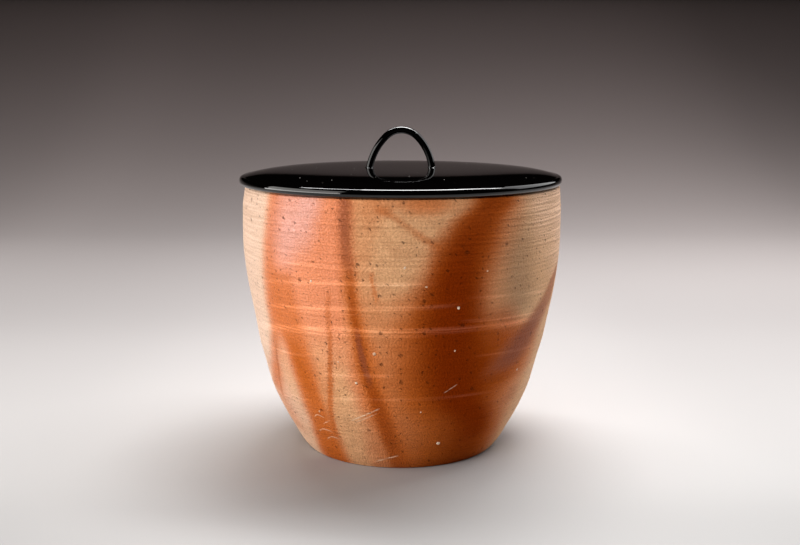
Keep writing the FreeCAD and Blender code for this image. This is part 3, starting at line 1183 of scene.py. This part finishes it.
@dataclass
class Jar:
    """The thrown stoneware vessel, with its undulations, pits and white stones."""

    height: float
    foot_radius: float = 57.7 * MM
    foot_flare_out: float = 20.6 * MM
    foot_flare_up: float = 23.1 * MM
    rim_radius: float = 94.2 * MM
    belly_swell: float = 5.6 * MM
    belly_drop: float = 60.6 * MM
    foot_rounding: float = 2.0 * MM
    wall_thickness: float = 7.0 * MM
    rim_thickness: float = 6.6 * MM
    floor_thickness: float = 9.0 * MM
    floor_rounding: float = 8.0 * MM
    rim_rounding: float = 1.2 * MM
    outer_rows: int = 132
    inner_rows: int = 56
    # Slow swells of the thrown wall: height, how far out and how tall, in mm
    swells: tuple[tuple[float, float, float], ...] = (
        (119.0, 0.3, 13.0), (81.0, -0.4, 12.0), (55.0, -0.3, 8.0), (37.0, 0.5, 9.0), (14.0, -0.5, 6.0),
    )
    # White stones that show in front: bearing, height in mm, radius in mm
    front_stones: tuple[tuple[float, float, float], ...] = (
        (1.3, 122.3, 1.0), (8.1, 112.0, 0.8), (19.3, 99.7, 1.1), (28.9, 118.7, 0.6), (-30.5, 113.0, 0.7),
        (-9.3, 74.6, 0.9), (-16.8, 56.7, 0.8), (-23.0, 68.3, 0.6), (-36.2, 35.3, 0.8), (17.8, 17.9, 1.1),
        (8.0, 39.6, 0.6), (19.2, 75.3, 0.6), (52.5, 56.6, 0.9),
    )
    scattered_stones: int = 46
    # How far the left side of the wall stands in: all its upper half, and the last part under the rim
    left_lean: float = 1.2 * MM
    left_lip: float = 0.9 * MM
    left_lip_height: float = 6.0 * MM
    # How finely the outer outline is looked up
    lookup_steps: int = 400

    def __post_init__(self) -> None:
        """Keep fine points of the outer outline for looking up its radius."""
        self._wall = bezier(self.outer_poles(), self.lookup_steps)

    def outer_poles(self) -> list[Vector]:
        """Work out the poles of the outer outline.

        Returns:
            The poles, from foot to rim.
        """
        return [
            on_axis_plane(self.foot_radius, 0.0),
            on_axis_plane(self.foot_radius + self.foot_flare_out, self.foot_flare_up),
            on_axis_plane(self.rim_radius + self.belly_swell, self.height - self.belly_drop),
            on_axis_plane(self.rim_radius, self.height),
        ]

    def inner_poles(self) -> list[Vector]:
        """Work out the poles of the cavity's outline.

        Returns:
            The outer poles moved in by the wall, from floor to mouth.
        """
        foot, flare, belly, rim = self.outer_poles()
        mouth = on_axis_plane(self.rim_radius - self.rim_thickness, self.height)
        low_in = Vector((-(flare - foot).z, 0.0, (flare - foot).x)).normalized() * self.wall_thickness
        side_in = Vector((-(belly - flare).z, 0.0, (belly - flare).x)).normalized() * self.wall_thickness
        low_start = foot + low_in
        side_start = flare + side_in
        return [
            low_start,
            crossing(low_start, flare - foot, side_start, belly - flare),
            crossing(side_start, belly - flare, mouth, rim - belly),
            mouth,
        ]

    def outline(self) -> list[Vector]:
        """Draw the vessel's outline.

        Returns:
            Its points, from the middle of the underside to the middle of the floor.
        """
        outer = without_ends(bezier(self.outer_poles(), self.outer_rows), 1.6 * self.foot_rounding)
        above = [p for p in bezier(self.inner_poles(), 4 * self.inner_rows) if p.z > self.floor_thickness]
        past_floor = (above[0].z - self.floor_thickness) / (above[1].z - above[0].z)
        corner = above[0] + (above[0] - above[1]) * past_floor
        inner = without_ends([corner, *above[::4], above[-1]], 1.2 * self.floor_rounding)
        under = [on_axis_plane(self.foot_radius * share, 0.0) for share in (0.0, 0.35, 0.7, 0.9)]
        floor = [on_axis_plane(corner.x * share, self.floor_thickness) for share in (0.8, 0.5, 0.2, 0.0)]
        return under + outer + list(reversed(inner)) + floor

    def floor_radius(self) -> float:
        """Find the sharp corner between floor and wall.

        Returns:
            Its radius.
        """
        outline = self.outline()
        return max(p.x for p in outline[-5:] if abs(p.z - self.floor_thickness) < NEAR)

    def swell(self, bearing: float, height: float) -> float:
        """Return how far the wall stands out at a place, over the drawn outline.

        Args:
            bearing: Radians round the jar.
            height: Height above the foot.

        Returns:
            The distance, nothing at the foot and the rim.
        """
        slow = sum(out * math.exp(-(((height / MM - at) / tall) ** 2)) for at, out, tall in self.swells)
        spot = Vector((math.cos(bearing), math.sin(bearing), height / self.height * 3))
        uneven = 0.22 * noise.noise(spot * 1.3) + 0.07 * noise.noise(spot * 5)
        hold = min(1.0, height / (6 * MM), (self.height - height) / (4 * MM))
        climb = min(1.0, max(0.0, (height - 40 * MM) / (55 * MM)))
        lean = self.left_lean * climb * climb * (3 - 2 * climb)
        lean += self.left_lip * math.exp(-(((self.height - height) / self.left_lip_height) ** 2))
        return (slow + uneven) * MM * max(0.0, hold) - lean * max(0.0, -math.sin(bearing)) ** 2

    def finger_groove(self, bearing: float, height: float) -> float:
        """Return how far the spiral that fingers left stands into the cavity at a place.

        Args:
            bearing: Radians round the jar.
            height: Height above the foot.

        Returns:
            The distance, nothing at the floor and the rim.
        """
        turns = height / (9.5 * MM) + bearing / FULL_TURN
        hold = min(1.0, (height - self.floor_thickness) / (12 * MM), (self.height - height) / (14 * MM))
        return 0.3 * MM * math.cos(FULL_TURN * turns) * max(0.0, hold)

    def is_outside(self, point: Vector) -> bool:
        """Tell whether a point of the wall is on its outer side.

        Args:
            point: The point.

        Returns:
            True on the outer side.
        """
        middle = self.wall_radius(point.z) - self.wall_thickness / 2
        return point.xy.length > middle and point.z > 0.2 * MM

    def wall_radius(self, height: float) -> float:
        """Return the drawn outline's outer radius.

        Args:
            height: Height above the foot.

        Returns:
            The radius.
        """
        points = self._wall
        for low, high in zip(points, points[1:]):
            if low.z <= height <= high.z:
                return low.x + (high.x - low.x) * (height - low.z) / (high.z - low.z)
        return points[0].x if height < points[0].z else points[-1].x

    def work_wall(self, shape: bmesh.types.BMesh) -> None:
        """Give the turned wall its swells outside and its finger grooves inside.

        Args:
            shape: The turned vessel.
        """
        for vertex in shape.verts:
            radius = vertex.co.xy.length
            if radius < self.foot_radius * 0.9:
                continue
            bearing = math.atan2(vertex.co.x, -vertex.co.y)
            if self.is_outside(vertex.co):
                longer = radius + self.swell(bearing, vertex.co.z)
            else:
                longer = radius - self.finger_groove(bearing, vertex.co.z)
            vertex.co.xy *= longer / radius

    def on_wall(self, bearing: float, height: float) -> Vector:
        """Find a point of the worked wall.

        Args:
            bearing: Degrees round from the front.
            height: Height above the foot.

        Returns:
            The point.
        """
        turn = math.radians(bearing)
        radius = self.wall_radius(height) + self.swell(turn, height)
        return Vector((radius * math.sin(turn), -radius * math.cos(turn), height))

    def build_vessel(self) -> bpy.types.Object:
        """Build the vessel in place of the plain one.

        Returns:
            The vessel.
        """
        shape = turned(self.outline())
        round_ring(shape, self.floor_radius(), self.floor_thickness, self.floor_rounding, 8)
        round_ring(shape, self.foot_radius, 0.0, self.foot_rounding, 5)
        round_ring(shape, self.rim_radius, self.height, self.rim_rounding, 5)
        round_ring(shape, self.rim_radius - self.rim_thickness, self.height, self.rim_rounding, 5)
        self.work_wall(shape)
        for face in shape.faces:
            face.material_index = 0 if self.is_outside(face.calc_center_median()) else 1
        clay = [FiredClay(self.height).dress(), BareClay().dress()]
        vessel = finished("jar_vessel", shape, clay)
        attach(vessel, "jar")
        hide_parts("jar_body")
        return vessel

    def build_stones(self) -> bpy.types.Object:
        """Build the white grains that stand out of the wall.

        Returns:
            The grains as one piece.
        """
        chance = random.Random(11)
        stones = list(self.front_stones)
        for _ in range(self.scattered_stones):
            bearing = chance.uniform(75, 285)
            stones.append((bearing, chance.uniform(8, 148), chance.uniform(0.45, 1.1)))
        shape = bmesh.new()
        for bearing, height, size in stones:
            spot = self.on_wall(bearing, height * MM)
            out = Vector((spot.x, spot.y, 0.0)).normalized()
            stretch = Matrix.Diagonal((chance.uniform(0.7, 1.2), chance.uniform(0.7, 1.2), 0.55, 1.0))
            turn = out.to_track_quat("Z", "Y").to_matrix().to_4x4()
            place = Matrix.Translation(spot - out * size * 0.2 * MM) @ turn @ stretch
            grain = bmesh.ops.create_icosphere(shape, subdivisions=2, radius=size * MM, matrix=place)
            for vertex in grain["verts"]:
                vertex.co += wobble(vertex.co * 900) * size * 0.2 * MM
        grains = finished("jar_white_stones", shape, [WhiteStone().dress()])
        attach(grains, "jar")
        return grains


def crossing(point_a: Vector, along_a: Vector, point_b: Vector, along_b: Vector) -> Vector:
    """Return where two lines of the XZ plane cross.

    Args:
        point_a: A point of the first line.
        along_a: Its direction.
        point_b: A point of the second line.
        along_b: Its direction.

    Returns:
        The crossing.
    """
    spread = along_a.x * along_b.z - along_a.z * along_b.x
    gap = point_b - point_a
    return point_a + along_a * ((gap.x * along_b.z - gap.z * along_b.x) / spread)


@dataclass
class Lid:
    """The lacquered board and the locating ring under it."""

    seat_z: float
    crown_z: float
    radius: float
    ring_bottom_z: float
    ring_top_z: float
    ring_outer_radius: float
    ring_thickness: float = 5.0 * MM
    ring_lead_in: float = 1.0 * MM
    crown_drop: float = 3.9 * MM
    crown_fall_width: float = 26.3 * MM
    shoulder_fall_width: float = 12.7 * MM
    shoulder_rounding: float = 2.5 * MM
    edge_under_width: float = 3.5 * MM
    edge_under_height: float = 2.6 * MM
    glue_gap: float = 0.1 * MM
    lacquer_softening: float = 0.3 * MM

    def board_outline(self) -> list[Vector]:
        """Draw the board's outline.

        Returns:
            Its points, from the middle of the top to the middle of the underside.
        """
        shoulder_z = self.crown_z - self.crown_drop
        shoulder_x = self.radius - self.shoulder_rounding
        crown = bezier(
            [
                on_axis_plane(0.0, self.crown_z),
                on_axis_plane(shoulder_x - self.crown_fall_width, self.crown_z),
                on_axis_plane(shoulder_x - self.shoulder_fall_width, self.crown_z),
                on_axis_plane(shoulder_x, shoulder_z),
            ],
            48,
        )
        edge_top = on_axis_plane(self.radius, shoulder_z - self.shoulder_rounding)
        shoulder = bezier([crown[-1], on_axis_plane(self.radius, shoulder_z), edge_top], 10)
        corner = on_axis_plane(self.radius, self.seat_z)
        under = quarter_ellipse(corner, self.edge_under_width, self.edge_under_height, 10)
        face = [edge_top.lerp(under[0], share) for share in (0.33, 0.67)]
        groove_out = self.ring_outer_radius + self.glue_gap
        groove_in = self.ring_outer_radius - self.ring_thickness - self.glue_gap
        groove = [
            on_axis_plane(groove_out, self.seat_z),
            on_axis_plane(groove_out, self.ring_top_z),
            on_axis_plane(groove_in, self.ring_top_z),
            on_axis_plane(groove_in, self.seat_z),
        ]
        middle = [on_axis_plane(groove_in * share, self.seat_z) for share in (0.75, 0.5, 0.25, 0.0)]
        return crown + shoulder[1:] + face + under + groove + middle

    def build_board(self, lacquer: bpy.types.Material) -> bpy.types.Object:
        """Build the board in place of the plain one.

        Args:
            lacquer: Its finish.

        Returns:
            The board.
        """
        shape = turned(self.board_outline())
        board = finished("lid_board_lacquered", shape, [lacquer])
        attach(board, "lid")
        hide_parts("lid_board")
        return board

    def build_ring(self, lacquer: bpy.types.Material) -> bpy.types.Object:
        """Build the locating ring in place of the plain one.

        Args:
            lacquer: Its finish.

        Returns:
            The ring.
        """
        inner = self.ring_outer_radius - self.ring_thickness
        outline = [
            on_axis_plane(inner, self.ring_bottom_z),
            on_axis_plane(self.ring_outer_radius - self.ring_lead_in, self.ring_bottom_z),
            on_axis_plane(self.ring_outer_radius, self.ring_bottom_z + self.ring_lead_in),
            on_axis_plane(self.ring_outer_radius, self.ring_top_z),
            on_axis_plane(inner, self.ring_top_z),
        ]
        shape = turned(outline, closed=True)
        sharp = [edge for edge in shape.edges if edge.calc_face_angle() > math.radians(30)]
        bmesh.ops.bevel(
            shape, geom=sharp, offset=self.lacquer_softening, segments=3, profile=0.5,
            affect="EDGES", material=-1,
        )
        ring = finished("lid_ring_lacquered", shape, [lacquer])
        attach(ring, "lid")
        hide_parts("lid_locating_ring")
        return ring


@dataclass
class Handle:
    """The bent rod on the lid, with a fillet of lacquer round each foot."""

    board_top_z: float
    board_under_z: float
    rod_radius: float = 2.1 * MM
    half_span: float = 18.6 * MM
    rise: float = 22.35 * MM
    # The top of the bend stands a little to the right, as a hand-bent rod's does
    crown_aside: float = 0.5 * MM
    crown_bend_radius: float = 13.1 * MM
    crown_bend_half_angle: float = math.radians(45.0)
    tenon_radius: float = 1.4 * MM
    fillet_reach: float = 0.7 * MM
    fillet_height: float = 0.9 * MM
    rod_sides: int = 40

    def leg_bend(self, side: float) -> tuple[Vector, float]:
        """Return centre and radius of the bend that carries one leg from the crown to its foot.

        Args:
            side: 1 for the right leg, -1 for the left one.

        Returns:
            The bend's centre and radius.
        """
        crown = on_axis_plane(self.crown_aside, self.board_top_z + self.rise - self.crown_bend_radius)
        turn = self.crown_bend_half_angle
        out = on_axis_plane(side * math.sin(turn), math.cos(turn))
        foot = on_axis_plane(side * self.half_span, self.board_top_z) - crown
        room = 2 * (self.crown_bend_radius - out.dot(foot))
        extra = (foot.length_squared - self.crown_bend_radius ** 2) / room
        return crown - out * extra, self.crown_bend_radius + extra

    def bends(self) -> list[tuple[Vector, float, float, float]]:
        """Work out the rod's three bends.

        Returns:
            Centre, radius, start and end angle of each, from right to left.
        """
        crown = on_axis_plane(self.crown_aside, self.board_top_z + self.rise - self.crown_bend_radius)
        join = math.pi / 2 - self.crown_bend_half_angle
        right, right_radius = self.leg_bend(1.0)
        left, left_radius = self.leg_bend(-1.0)
        right_foot = math.asin((self.board_top_z - right.z) / right_radius)
        left_foot = math.pi - math.asin((self.board_top_z - left.z) / left_radius)
        return [
            (right, right_radius, right_foot, join),
            (crown, self.crown_bend_radius, join, math.pi - join),
            (left, left_radius, math.pi - join, left_foot),
        ]

    def build_rod(self, shape: bmesh.types.BMesh) -> None:
        """Add the rod to a shape: a circle swung along its three bends, and cut at the board.

        Args:
            shape: Where the rod goes.
        """
        bends = self.bends()
        centre, radius, start, _ = bends[0]
        past = 2.5 * self.rod_radius / radius
        begin = start - past
        spot = centre + Vector((math.cos(begin), 0.0, math.sin(begin))) * radius
        along = Vector((-math.sin(begin), 0.0, math.cos(begin)))
        place = Matrix.Translation(spot) @ along.to_track_quat("Z", "Y").to_matrix().to_4x4()
        made = bmesh.ops.create_circle(
            shape, cap_ends=False, radius=self.rod_radius, segments=self.rod_sides, matrix=place
        )
        front = made["verts"] + list({edge for vertex in made["verts"] for edge in vertex.link_edges})
        angles = [(begin, bends[0][3]), (bends[1][2], bends[1][3]), (bends[2][2], bends[2][3] + past)]
        for (centre, radius, _, _), (low, high) in zip(bends, angles):
            steps = max(8, round((high - low) * radius / (0.9 * MM)))
            swung = bmesh.ops.spin(
                shape, geom=front, axis=(0, -1, 0), cent=centre, angle=high - low, steps=steps
            )
            front = swung["geom_last"]
        everything = shape.verts[:] + shape.edges[:] + shape.faces[:]
        bmesh.ops.bisect_plane(
            shape, geom=everything, dist=1e-7, plane_co=(0, 0, self.board_top_z + self.fillet_height),
            plane_no=(0, 0, -1), clear_outer=True,
        )
        self.flare_feet(shape)

    def flare_feet(self, shape: bmesh.types.BMesh) -> None:
        """Carry the rod down to the board with a hollow fillet of lacquer.

        Args:
            shape: The rod, cut level above the board.
        """
        steps = 6
        for x in (-self.half_span, self.half_span):
            rim = [e for e in shape.edges if e.is_boundary and (e.verts[0].co.x > 0) == (x > 0)]
            foot = Vector((x, 0.0, 0.0))
            middle = sum((v.co for e in rim for v in e.verts), Vector()) / (2 * len(rim))
            for step in range(1, steps + 1):
                turn = math.pi / 2 * step / steps
                drop = self.fillet_height * math.sin(turn)
                grow = self.fillet_reach * (1 - math.cos(turn))
                grown = bmesh.ops.extrude_edge_only(shape, edges=rim)["geom"]
                rim = [g for g in grown if isinstance(g, bmesh.types.BMEdge)]
                z = self.board_top_z + self.fillet_height - drop
                last = self.fillet_reach * (1 - math.cos(math.pi / 2 * (step - 1) / steps))
                drift = (foot - Vector((middle.x, 0.0, 0.0))) / steps
                for vertex in {v for e in rim for v in e.verts}:
                    out = Vector((vertex.co.x - middle.x, vertex.co.y, 0.0)).normalized()
                    vertex.co += out * (grow - last) + drift
                    vertex.co.z = z
                middle += drift

    def build_tenon(self, shape: bmesh.types.BMesh, x: float) -> None:
        """Add one tenon that ends level with the board's underside.

        Args:
            shape: Where the tenon goes.
            x: Where its foot stands.
        """
        length = self.board_top_z - self.board_under_z - 1.0 * MM
        place = Matrix.Translation((x, 0.0, self.board_under_z + length / 2 + 0.02 * MM))
        bmesh.ops.create_cone(
            shape, cap_ends=True, cap_tris=True, segments=self.rod_sides, radius1=self.tenon_radius,
            radius2=self.tenon_radius, depth=length, matrix=place,
        )

    def build(self, lacquer: bpy.types.Material) -> bpy.types.Object:
        """Build the handle in place of the plain one.

        Args:
            lacquer: Its finish.

        Returns:
            The handle.
        """
        shape = bmesh.new()
        self.build_rod(shape)
        bmesh.ops.recalc_face_normals(shape, faces=shape.faces)
        for x in (-self.half_span, self.half_span):
            self.build_tenon(shape, x)
        rod = finished("lid_handle_lacquered", shape, [lacquer])
        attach(rod, "lid")
        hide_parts("lid_handle")
        return rod


@dataclass(frozen=True)
class SoftLamp:
    """A softbox.

    Attributes:
        name: What it lights.
        place: Where its middle is.
        aim: What it points at.
        size: Its width and height.
        watts: Its power.
        tint: Its colour.
        mirrored: Whether polished pieces show it.
    """

    name: str
    place: tuple[float, float, float]
    aim: tuple[float, float, float]
    size: tuple[float, float]
    watts: float
    tint: tuple[float, float, float] = (1.0, 1.0, 1.0)
    mirrored: bool = True

    def hang(self) -> None:
        """Put the lamp in the scene."""
        data = bpy.data.lights.new(self.name, "AREA")
        data.shape = "RECTANGLE"
        data.size, data.size_y = self.size
        data.energy = self.watts
        data.color = self.tint
        lamp = bpy.data.objects.new(self.name, data)
        lamp.location = self.place
        lamp.visible_glossy = self.mirrored
        lamp.rotation_euler = (Vector(self.aim) - Vector(self.place)).to_track_quat("-Z", "Y").to_euler()
        bpy.context.scene.collection.objects.link(lamp)


@dataclass
class Studio:
    """A pale floor that sweeps up into a backdrop, with painted light and shade that darken the paper towards
    the back, the lamps and the camera.
    """

    camera_distance: float = 0.640
    camera_height: float = 0.2161
    camera_pitch: float = math.radians(10.0)
    camera_aside: float = -0.0004
    focal_length: float = 48.17
    sweep_start: float = 0.9
    sweep_radius: float = 1.2
    sweep_top: float = 1.3
    # Painted light and shade in the paper's grey, by how far along the sheet it is, from the jar's axis to
    # the back
    painted_paper_light: tuple[tuple[float, float], ...] = (
        (-1.2, 0.02), (-0.8, 0.1), (-0.5, 0.27), (-0.3, 0.345), (-0.15, 0.35), (-0.05, 0.4), (0.03, 0.395),
        (0.1, 0.38), (0.2, 0.355), (0.42, 0.31), (0.9, 0.335), (1.17, 0.305), (1.5, 0.24), (1.92, 0.158),
        (2.165, 0.1), (2.21, 0.045), (2.26, 0.008), (2.35, 0.0), (3.0, 0.0),
    )
    # Painted light and shade from left to right, near the jar and at the back, where the lamps' light and the
    # jar's shadows fall
    near_painted_light: tuple[tuple[float, float], ...] = (
        (-0.26, 0.9), (-0.15, 0.97), (-0.07, 1.02), (0.0, 0.99), (0.1, 1.06), (0.14, 1.03), (0.26, 0.93),
    )
    back_painted_light: tuple[tuple[float, float], ...] = (
        (-0.72, 0.93), (-0.54, 1.0), (-0.43, 0.95), (-0.3, 0.91), (0.0, 0.98), (0.2, 1.04), (0.35, 1.1),
        (0.48, 1.13), (0.6, 1.09), (0.72, 1.0),
    )
    lamps: tuple[SoftLamp, ...] = (
        SoftLamp("top_softbox", (0.1, 0.25, 1.0), (0.05, 0.0, 0.0), (0.55, 0.42), 9.0),
        SoftLamp("top_strip", (0.12, 0.25, 0.98), (0.05, 0.0, 0.0), (1.3, 0.15), 13.5),
        SoftLamp("left_softbox", (-1.1, -0.38, 0.45), (0.0, 0.0, 0.1), (1.4, 0.7), 7.8, (1.0, 0.97, 0.93)),
        SoftLamp("left_strip", (-1.05, -0.34, 0.06), (0.0, 0.0, 0.12), (1.4, 0.16), 4.4, (1.0, 0.98, 0.95)),
        SoftLamp("right_softbox", (0.95, 0.38, 0.72), (0.0, 0.0, 0.1), (1.2, 0.9), 6.2),
        SoftLamp(
            "front_fill", (-0.35, -1.0, 0.95), (0.0, 0.0, 0.1), (0.7, 0.5), 7.4, (1.0, 0.95, 0.93),
            mirrored=False,
        ),
    )

    # Where the painted light and shade of the paper start and how far they reach, along the sheet
    painted_light_from: float = -1.2
    painted_light_reach: float = 4.2
    paper_front: float = -2.5
    paper_half_width: float = 3.0
    sweep_steps: int = 24
    sensor_width: float = 36.0

    def dress_sweep(self) -> bpy.types.Material:
        """Build the paper of the floor and backdrop, with light and shade painted into its colour: it darkens
        away from the jar, and is lighter or darker from left to right where light and the jar's shadows fall.

        Returns:
            The finished material.
        """
        sheet = NodeSheet("studio_paper")
        side, depth, rise = sheet.split(sheet.place())
        along = sheet.math("ADD", depth, rise)
        share = sheet.math("DIVIDE", sheet.math("ADD", along, -self.painted_light_from), self.painted_light_reach, clamp=True)
        # Painted light and shade: the paper's grey falls off along the sheet and leans from left to right
        light_points = [((reach - self.painted_light_from) / self.painted_light_reach, grey) for reach, grey in self.painted_paper_light]
        level = sheet.curve(share, light_points)
        across = sheet.math("MULTIPLY_ADD", side, 0.5, 0.5, clamp=True)
        near = sheet.curve(across, [(x / 2 + 0.5, level / 2) for x, level in self.near_painted_light])
        back = sheet.curve(across, [(x / 2 + 0.5, level / 2) for x, level in self.back_painted_light])
        far = sheet.step(along, 0.15, 0.6)
        lean = sheet.math("MULTIPLY_ADD", sheet.math("SUBTRACT", back, near), far, near)
        lean = sheet.math("MULTIPLY", lean, 2.0)
        fleck = sheet.math("MULTIPLY_ADD", sheet.noise(sheet.place(), 900.0, 2.0), 0.04, 0.98)
        level = sheet.math("MULTIPLY", level, sheet.math("MULTIPLY", lean, fleck))
        tint = sheet.mix(share, (0.92, 1.0, 1.0, 1.0), (1.3, 0.98, 0.94, 1.0))
        colour = sheet.mix(1.0, sheet.join(level, level, level), tint, "MULTIPLY")
        sheet.set(Base_Color=colour, Roughness=0.9, Specular_IOR_Level=0.0)
        return sheet.material

    def build_sweep(self) -> None:
        """Build the floor and backdrop as one bent sheet."""
        shape = bmesh.new()
        left = -self.paper_half_width
        line = [Vector((left, self.paper_front, 0.0)), Vector((left, self.sweep_start, 0.0))]
        for step in range(1, self.sweep_steps + 1):
            turn = math.pi / 2 * step / self.sweep_steps
            y = self.sweep_start + self.sweep_radius * math.sin(turn)
            line.append(Vector((left, y, self.sweep_radius * (1 - math.cos(turn)))))
        line.append(Vector((left, line[-1].y, self.sweep_top)))
        verts = [shape.verts.new(point) for point in line]
        edges = [shape.edges.new(pair) for pair in zip(verts, verts[1:])]
        grown = bmesh.ops.extrude_edge_only(shape, edges=edges)["geom"]
        far = [g for g in grown if isinstance(g, bmesh.types.BMVert)]
        bmesh.ops.translate(shape, verts=far, vec=(2 * self.paper_half_width, 0.0, 0.0))
        bmesh.ops.recalc_face_normals(shape, faces=shape.faces)
        sweep = finished("studio_sweep", shape, [self.dress_sweep()])

    def set_camera(self) -> None:
        """Place the camera where the photograph was taken from."""
        data = bpy.data.cameras.new("camera")
        data.lens = self.focal_length
        data.sensor_width = self.sensor_width
        camera = bpy.data.objects.new("camera", data)
        camera.location = (self.camera_aside, -self.camera_distance, self.camera_height)
        camera.rotation_euler = (math.pi / 2 - self.camera_pitch, 0.0, 0.0)
        bpy.context.scene.collection.objects.link(camera)
        bpy.context.scene.camera = camera

    def set_world(self) -> None:
        """Give the room a black world, which adds no light."""
        world = bpy.data.worlds.new("room")
        bpy.context.scene.world = world
        world.use_nodes = True
        world.node_tree.nodes["Background"].inputs["Color"].default_value = (0.0, 0.0, 0.0, 1.0)

    def build(self) -> None:
        """Build the floor, hang the lamps and set the camera."""
        self.build_sweep()
        self.set_world()
        for lamp in self.lamps:
            lamp.hang()
        self.set_camera()
        bpy.context.scene.view_settings.view_transform = "Standard"


def report(piece: bpy.types.Object) -> None:
    """Log a finished piece's size and faces.

    Args:
        piece: The piece.
    """
    span = [round(size / MM, 1) for size in piece.dimensions]
    log.info("%s: %d faces, %s mm", piece.name, len(piece.data.polygons), span)


def main() -> None:
    """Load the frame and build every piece."""
    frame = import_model()
    board_low, board_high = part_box("lid_board")
    ring_low, ring_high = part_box("lid_locating_ring")
    jar = Jar(height=board_low.z)
    lid = Lid(
        seat_z=board_low.z, crown_z=board_high.z, radius=board_high.x,
        ring_bottom_z=ring_low.z, ring_top_z=ring_high.z, ring_outer_radius=ring_high.x,
    )
    handle = Handle(board_top_z=board_high.z, board_under_z=board_low.z)
    lacquer = BlackLacquer().dress()
    makers: list[Callable[[], bpy.types.Object]] = [
        jar.build_vessel,
        jar.build_stones,
        lambda: lid.build_board(lacquer),
        lambda: lid.build_ring(lacquer),
        lambda: handle.build(lacquer),
    ]
    for make in makers:
        report(make())
    wedge_wood = WedgeWood().dress()
    for name in ("handle_wedge_left", "handle_wedge_right"):
        wedge = frame["nodes"][name]
        wedge.data.materials.clear()
        wedge.data.materials.append(wedge_wood)
        report(wedge)
    Studio().build()


if __name__ == "__main__":
    logging.basicConfig(level=logging.INFO, format="%(message)s")
    main()
